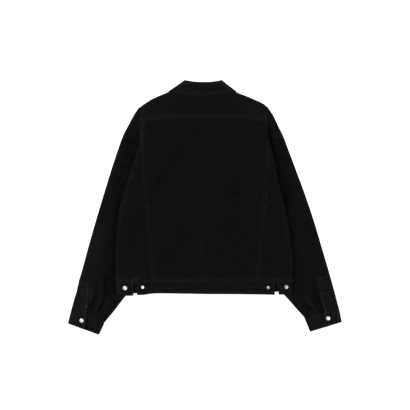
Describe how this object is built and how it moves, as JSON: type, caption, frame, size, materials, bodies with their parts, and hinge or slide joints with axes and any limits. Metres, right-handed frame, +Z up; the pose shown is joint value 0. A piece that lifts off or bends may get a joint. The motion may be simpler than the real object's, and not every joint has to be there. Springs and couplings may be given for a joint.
{
  "type": "denim trucker jacket",
  "caption": "Boxy near-black denim trucker jacket lying flat, back up: yoke, three back panels, waistband with buttoned tabs, folded collar, long sleeves with buttoned cuffs",
  "frame": {"origin": "middle of the outline seen from above, on the surface the jacket lies on", "axes": "+X across the back towards the wearer's right sleeve, +Y up the back towards the collar, +Z up from the surface, out of the back"},
  "size_m": [0.8348, 0.7763, 0.019],
  "materials": {
    "back_yoke": "washed near-black denim, matt twill",
    "back_centre": "washed near-black denim, matt twill",
    "back_side_left": "washed near-black denim, matt twill",
    "back_side_right": "washed near-black denim, matt twill",
    "collar": "washed near-black denim, matt twill",
    "waistband_back": "washed near-black denim, matt twill",
    "waist_tab_left": "washed near-black denim, matt twill",
    "waist_tab_right": "washed near-black denim, matt twill",
    "front_left": "washed near-black denim, matt twill",
    "front_right": "washed near-black denim, matt twill",
    "waistband_front_left": "washed near-black denim, matt twill",
    "waistband_front_right": "washed near-black denim, matt twill",
    "sleeve_left": "washed near-black denim, matt twill",
    "sleeve_right": "washed near-black denim, matt twill",
    "sleeve_placket_left": "washed near-black denim, matt twill",
    "sleeve_placket_right": "washed near-black denim, matt twill",
    "cuff_left": "washed near-black denim, matt twill",
    "cuff_right": "washed near-black denim, matt twill",
    "waist_button_left_large": "bright silvery metal",
    "waist_button_left_small": "bright silvery metal",
    "waist_button_right_small": "bright silvery metal",
    "waist_button_right_large": "bright silvery metal",
    "cuff_button_left": "bright silvery metal",
    "cuff_button_right": "bright silvery metal",
    "front_button_1": "bright silvery metal",
    "front_button_2": "bright silvery metal",
    "front_button_3": "bright silvery metal",
    "front_button_4": "bright silvery metal",
    "front_button_5": "bright silvery metal",
    "front_button_6": "bright silvery metal"
  },
  "bodies": {
    "root": {"back_yoke": "back_yoke", "back_centre": "back_centre", "back_side_left": "back_side_left", "back_side_right": "back_side_right", "collar": "collar", "waistband_back": "waistband_back", "waist_tab_left": "waist_tab_left", "waist_tab_right": "waist_tab_right", "front_left": "front_left", "front_right": "front_right", "waistband_front_left": "waistband_front_left", "waistband_front_right": "waistband_front_right", "sleeve_left": "sleeve_left", "sleeve_right": "sleeve_right", "sleeve_placket_left": "sleeve_placket_left", "sleeve_placket_right": "sleeve_placket_right", "cuff_left": "cuff_left", "cuff_right": "cuff_right", "waist_button_left_large": "waist_button_left_large", "waist_button_left_small": "waist_button_left_small", "waist_button_right_small": "waist_button_right_small", "waist_button_right_large": "waist_button_right_large", "cuff_button_left": "cuff_button_left", "cuff_button_right": "cuff_button_right", "front_button_1": "front_button_1", "front_button_2": "front_button_2", "front_button_3": "front_button_3", "front_button_4": "front_button_4", "front_button_5": "front_button_5", "front_button_6": "front_button_6"}
  },
  "joints": []
}
